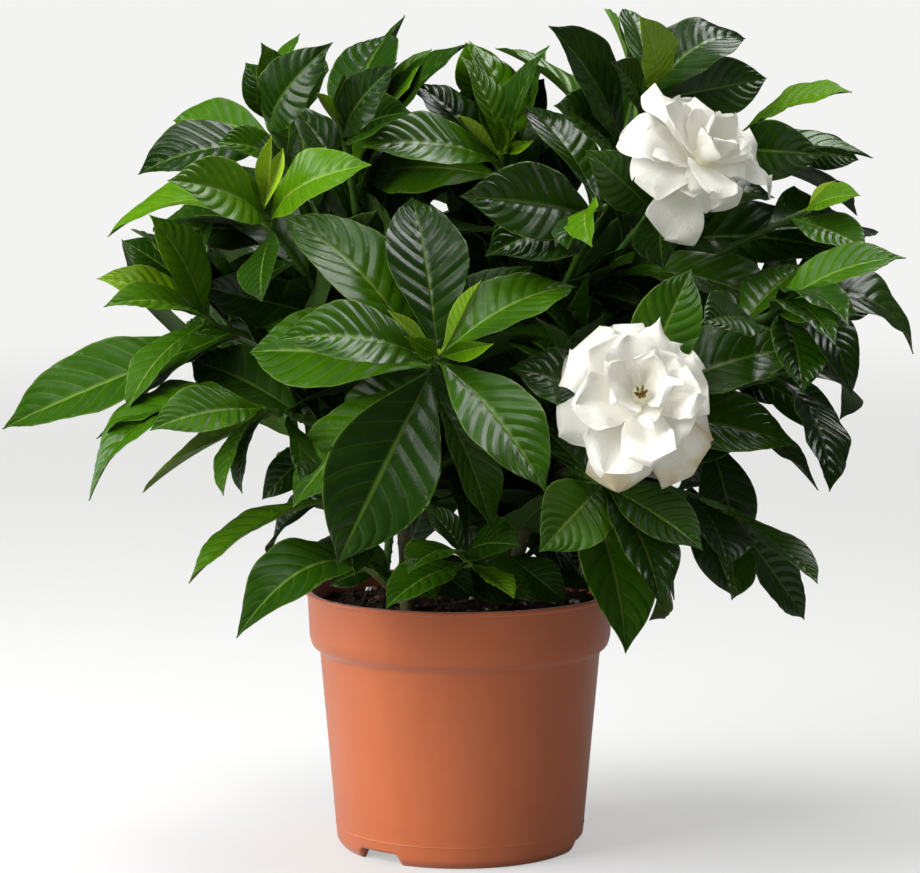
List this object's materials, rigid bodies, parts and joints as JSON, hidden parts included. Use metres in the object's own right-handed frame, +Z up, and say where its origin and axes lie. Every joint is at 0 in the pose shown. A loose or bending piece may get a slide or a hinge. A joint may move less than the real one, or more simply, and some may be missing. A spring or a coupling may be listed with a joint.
{
  "type": "potted gardenia",
  "caption": "Bushy gardenia with glossy quilted leaves and double white blooms, growing in a terracotta-coloured plastic nursery pot with a deep collar.",
  "frame": {"origin": "on the surface that the pot stands on, under the middle of the plant's outline", "axes": "+Z up the plant; +X to the right as the plant is seen from its front, along its longest extent; the front with the open bloom faces -Y"},
  "size_m": [0.338, 0.2782, 0.3255],
  "materials": {
    "pot": "satin injection-moulded plastic, terracotta coloured",
    "soil": "crumbly dark peat with white perlite",
    "woody_stem": "matte bark, green-brown",
    "foliage": "glossy leathery leaves with raised veins, yellow-green when young",
    "petals": "waxy matte white petals",
    "bloom_eye": "matte, yellow-green and brown"
  },
  "bodies": {
    "root": {"bloom_front": "petals", "bloom_front_eye": "bloom_eye", "bloom_upper": "petals", "bloom_upper_eye": "bloom_eye", "pot": "pot", "soil": "soil", "spray_back_1": "foliage", "spray_back_2": "foliage", "spray_back_3": "foliage", "spray_back_4": "foliage", "spray_back_5": "foliage", "spray_back_6": "foliage", "spray_back_7": "foliage", "spray_back_8": "foliage", "spray_back_9": "foliage", "spray_behind_bloom": "foliage", "spray_bloom_front": "foliage", "spray_bloom_upper": "foliage", "spray_centre": "foliage", "spray_far_right": "foliage", "spray_front": "foliage", "spray_left": "foliage", "spray_low_front": "foliage", "spray_low_left": "foliage", "spray_low_right": "foliage", "spray_lowest_front": "foliage", "spray_lowest_left": "foliage", "spray_lowest_right": "foliage", "spray_middle": "foliage", "spray_right": "foliage", "spray_top": "foliage", "spray_top_left": "foliage", "spray_top_right": "foliage", "spray_under_bloom": "foliage", "spray_upper_left": "foliage", "stem_1": "woody_stem", "stem_2": "woody_stem", "stem_3": "woody_stem", "stem_4": "woody_stem"}
  },
  "joints": []
}
